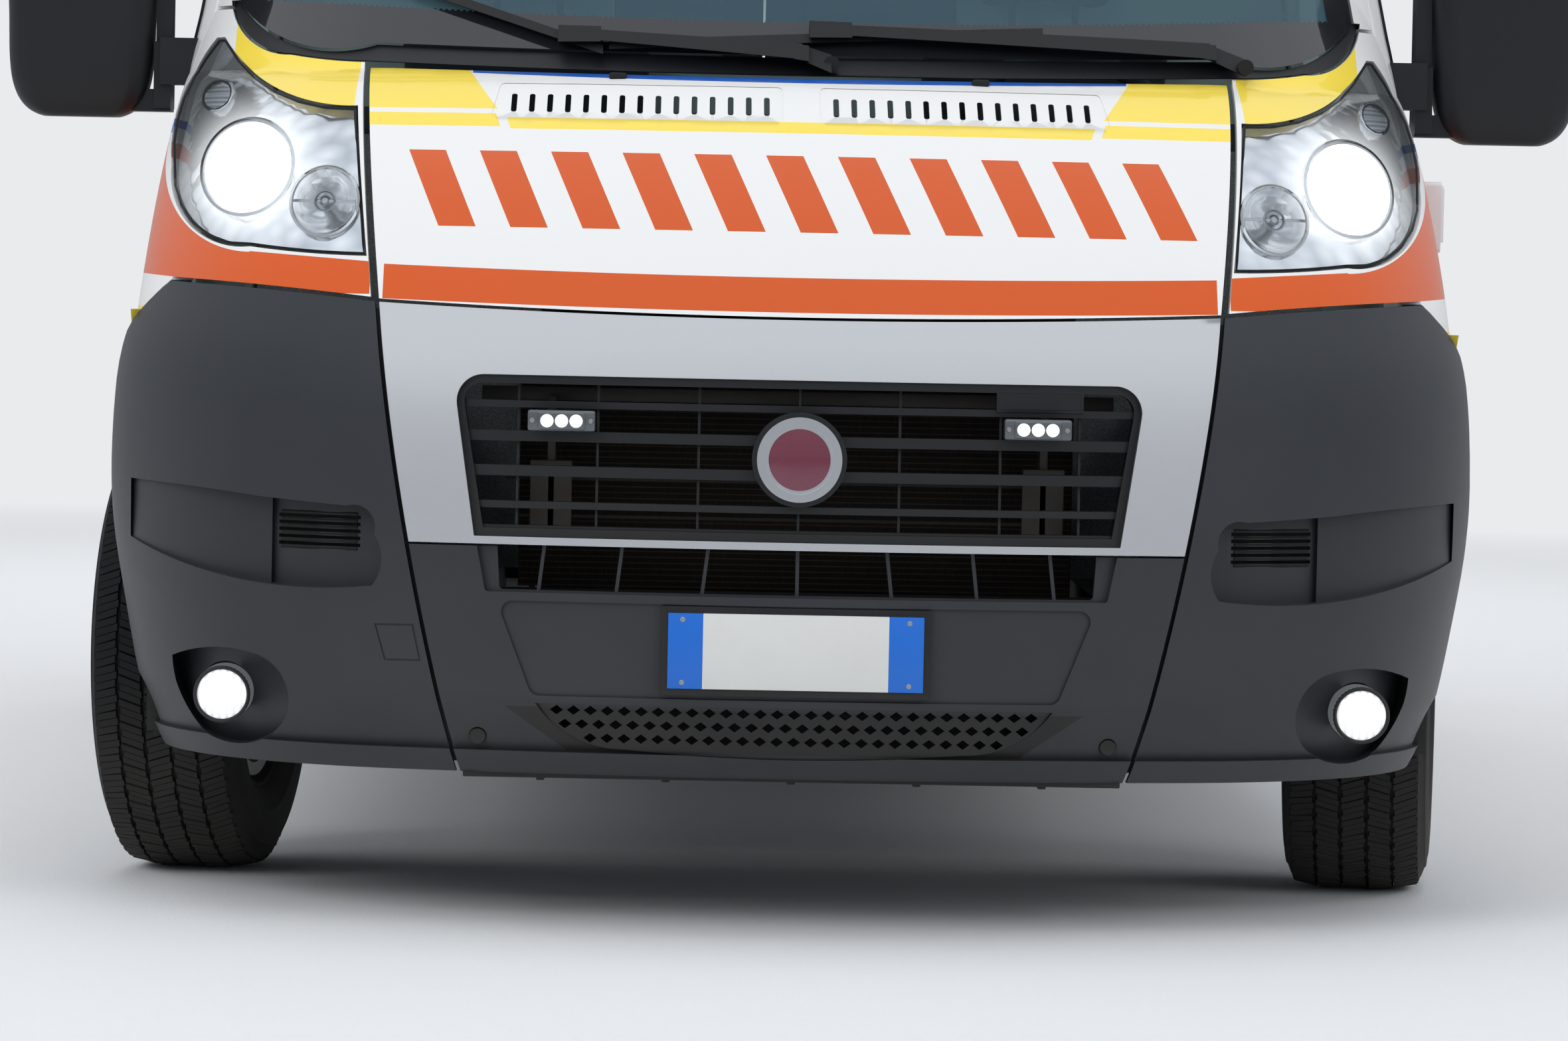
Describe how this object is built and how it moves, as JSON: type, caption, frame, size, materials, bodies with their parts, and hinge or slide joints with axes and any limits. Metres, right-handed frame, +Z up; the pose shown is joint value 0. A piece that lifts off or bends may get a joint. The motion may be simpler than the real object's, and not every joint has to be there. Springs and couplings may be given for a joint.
{
  "type": "ambulance",
  "caption": "Medium-roof panel-van ambulance with hinged doors and bonnet, steered front wheels, cab, patient bay, stretcher and blue warning lights.",
  "frame": {"origin": "on the ground, midway along the vehicle and on its centre plane", "axes": "+Z up, -Y forward, +X to the left side of the vehicle"},
  "size_m": [2.4992, 5.4137, 2.6399],
  "materials": {
    "white_paint": "gloss",
    "silver_paint": "satin",
    "black_plastic": "satin",
    "grey_plastic": "matt",
    "glass": "clear",
    "dark_glass": "clear",
    "lamp_glass": "clear",
    "lamp_reflector": "bright",
    "chrome": "bright",
    "red_lens": "gloss",
    "blue_lens": "gloss",
    "floor_grey": "matt",
    "interior_panel": "satin",
    "dash_plastic": "matt",
    "seat_fabric": "matt",
    "stretcher_pad": "matt",
    "chassis_steel": "satin",
    "cast_iron": "rough",
    "stretcher_alloy": "satin",
    "radiator_alloy": "satin",
    "tyre": "matt",
    "wheel_steel": "satin"
  },
  "bodies": {
    "shell": {"arch_liners": "black_plastic", "badge_ring": "chrome", "beacon_bases": "grey_plastic", "beacons": "blue_lens", "box_sides": "white_paint", "bulkhead": "interior_panel", "bumper_centre": "grey_plastic", "bumper_corners": "grey_plastic", "cab_frame": "white_paint", "cab_seats": "seat_fabric", "cabinets": "interior_panel", "cowl_panel": "black_plastic", "dashboard": "dash_plastic", "engine_block": "cast_iron", "floor_pan": "floor_grey", "fog_lamps": "lamp_glass", "front_subframe": "chassis_steel", "front_wings": "white_paint", "fuel_tank": "chassis_steel", "grille": "black_plastic", "grille_flashers": "blue_lens", "grille_surround": "silver_paint", "headlamp_housings": "lamp_reflector", "headlamp_lenses": "lamp_glass", "radiator": "radiator_alloy", "rear_axle": "chassis_steel", "rear_bumper": "grey_plastic", "rear_frame": "white_paint", "roof_panel": "white_paint", "side_inlet": "white_paint", "side_mouldings": "grey_plastic", "side_windows": "dark_glass", "sliding_door": "white_paint", "stretcher": "stretcher_alloy", "stretcher_pad": "stretcher_pad", "tail_lamps": "red_lens", "windscreen": "glass", "wipers": "black_plastic"},
    "bonnet": {"bonnet": "white_paint"},
    "door_left": {"front_door_glass_l": "glass", "front_door_l": "white_paint", "front_door_trim_l": "black_plastic"},
    "door_right": {"front_door_glass_r": "glass", "front_door_r": "white_paint", "front_door_trim_r": "black_plastic"},
    "corner_left": {"knuckle_l": "chassis_steel"},
    "corner_right": {"knuckle_r": "chassis_steel"},
    "rear_door_left": {"rear_door_glass_l": "dark_glass", "rear_door_l": "white_paint"},
    "rear_door_right": {"rear_door_glass_r": "dark_glass", "rear_door_r": "white_paint"},
    "front_wheel_left": {"tyre_front_l": "tyre", "wheel_front_l": "wheel_steel"},
    "front_wheel_right": {"tyre_front_r": "tyre", "wheel_front_r": "wheel_steel"},
    "rear_wheel_left": {"tyre_rear_l": "tyre", "wheel_rear_l": "wheel_steel"},
    "rear_wheel_right": {"tyre_rear_r": "tyre", "wheel_rear_r": "wheel_steel"}
  },
  "joints": [
    {"name": "steer_left", "type": "hinge", "parent": "shell", "child": "corner_left", "pos_m": [0.865, -1.7585, 0.348], "axis": [0, 0, 1], "range_deg": [-27, 43]},
    {"name": "steer_right", "type": "hinge", "parent": "shell", "child": "corner_right", "pos_m": [-0.865, -1.7585, 0.348], "axis": [0, 0, 1], "range_deg": [-27, 43]},
    {"name": "front_left_spin", "type": "hinge", "parent": "corner_left", "child": "front_wheel_left", "pos_m": [0.90461, -1.76407, 0.348], "axis": [0.9903, -0.1392, 0], "continuous": true},
    {"name": "front_right_spin", "type": "hinge", "parent": "corner_right", "child": "front_wheel_right", "pos_m": [-0.90461, -1.75293, 0.348], "axis": [0.9903, -0.1392, 0], "continuous": true},
    {"name": "rear_left_spin", "type": "hinge", "parent": "shell", "child": "rear_wheel_left", "pos_m": [0.895, 1.6915, 0.348], "axis": [1, 0, 0], "continuous": true},
    {"name": "rear_right_spin", "type": "hinge", "parent": "shell", "child": "rear_wheel_right", "pos_m": [-0.895, 1.6915, 0.348], "axis": [1, 0, 0], "continuous": true},
    {"name": "door_left_hinge", "type": "hinge", "parent": "shell", "child": "door_left", "pos_m": [1.003, -1.6795, 1.2], "axis": [0, 0, -1], "range_deg": [0, 70]},
    {"name": "door_right_hinge", "type": "hinge", "parent": "shell", "child": "door_right", "pos_m": [-1.003, -1.6795, 1.2], "axis": [0, 0, 1], "range_deg": [0, 70]},
    {"name": "rear_door_left_hinge", "type": "hinge", "parent": "shell", "child": "rear_door_left", "pos_m": [0.827, 2.6535, 1.3], "axis": [0, 0, -1], "range_deg": [0, 170]},
    {"name": "rear_door_right_hinge", "type": "hinge", "parent": "shell", "child": "rear_door_right", "pos_m": [-0.827, 2.6535, 1.3], "axis": [0, 0, 1], "range_deg": [0, 170]},
    {"name": "bonnet_hinge", "type": "hinge", "parent": "shell", "child": "bonnet", "pos_m": [0, -2.0065, 1.275], "axis": [-1, 0, 0], "range_deg": [0, 50]}
  ],
  "couplings": [
    {"joint": "steer_right", "follows": "steer_left", "ratio": 1}
  ]
}
